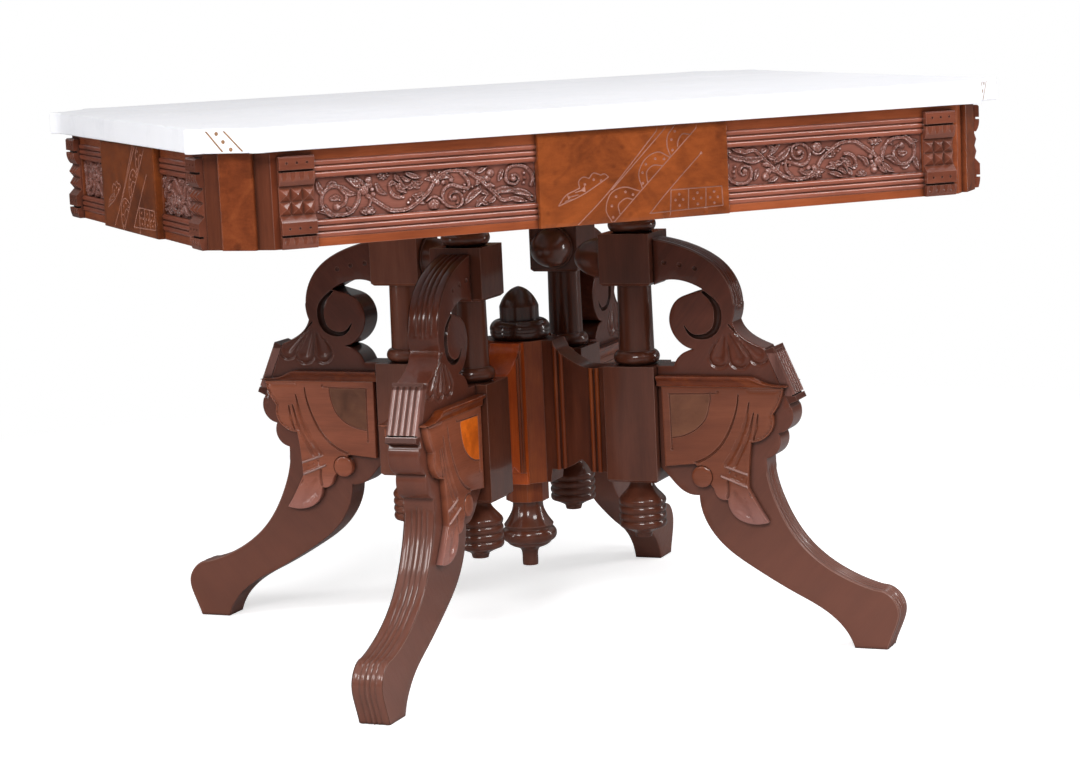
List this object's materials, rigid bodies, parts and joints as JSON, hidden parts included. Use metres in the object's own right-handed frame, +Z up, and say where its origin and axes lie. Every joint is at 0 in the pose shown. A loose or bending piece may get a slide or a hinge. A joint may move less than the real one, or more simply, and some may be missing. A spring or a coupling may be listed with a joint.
{
  "type": "pier table",
  "caption": "Low rectangular table with a loose marble top on a carved walnut apron, held by four columns with scrolled legs set diagonally round a turned post.",
  "frame": {"origin": "on the floor, under the centre of the top", "axes": "+X along the long side, to the right seen from the front; the front faces -Y; +Z up"},
  "size_m": [1.105, 0.834, 0.74],
  "materials": {
    "marble": "satin",
    "walnut": "satin",
    "wing_walnut": "satin",
    "apron_walnut": "satin",
    "burl": "satin",
    "secondary_wood": "matte",
    "steel": "satin"
  },
  "bodies": {
    "frame": {"back_carved_panels": "apron_walnut", "back_end_blocks": "apron_walnut", "back_rail": "apron_walnut", "back_reed_mouldings": "apron_walnut", "back_tablet": "burl", "bearer_cleats": "secondary_wood", "bearer_screws": "steel", "centre_finial": "walnut", "centre_pendant": "walnut", "centre_post": "wing_walnut", "cheeks_back_left": "walnut", "cheeks_back_right": "walnut", "cheeks_front_left": "walnut", "cheeks_front_right": "walnut", "column_back_left": "walnut", "column_back_right": "walnut", "column_front_left": "walnut", "column_front_right": "walnut", "corner_board_back_left": "apron_walnut", "corner_board_back_right": "apron_walnut", "corner_board_front_left": "apron_walnut", "corner_board_front_right": "apron_walnut", "corner_burl_panels": "burl", "corner_glue_blocks": "secondary_wood", "cross_bearer_left": "secondary_wood", "cross_bearer_right": "secondary_wood", "front_carved_panels": "apron_walnut", "front_end_blocks": "apron_walnut", "front_rail": "apron_walnut", "front_reed_mouldings": "apron_walnut", "front_tablet": "burl", "knee_plaques": "walnut", "left_carved_panels": "apron_walnut", "left_end_blocks": "apron_walnut", "left_rail": "apron_walnut", "left_reed_mouldings": "apron_walnut", "left_tablet": "burl", "leg_back_left": "walnut", "leg_back_right": "walnut", "leg_dowels": "secondary_wood", "leg_front_left": "walnut", "leg_front_right": "walnut", "pendant_back_left": "walnut", "pendant_back_right": "walnut", "pendant_front_left": "walnut", "pendant_front_right": "walnut", "right_carved_panels": "apron_walnut", "right_end_blocks": "apron_walnut", "right_rail": "apron_walnut", "right_reed_mouldings": "apron_walnut", "right_tablet": "burl", "roundels": "walnut", "wing_back_left": "wing_walnut", "wing_back_right": "wing_walnut", "wing_beads": "wing_walnut", "wing_dowels": "secondary_wood", "wing_front_left": "wing_walnut", "wing_front_right": "wing_walnut"},
    "top": {"marble_top": "marble"}
  },
  "joints": [
    {"name": "marble_lift", "type": "slide", "parent": "frame", "child": "top", "axis": [0, 0, 1], "range_m": [0, 0.12]}
  ]
}
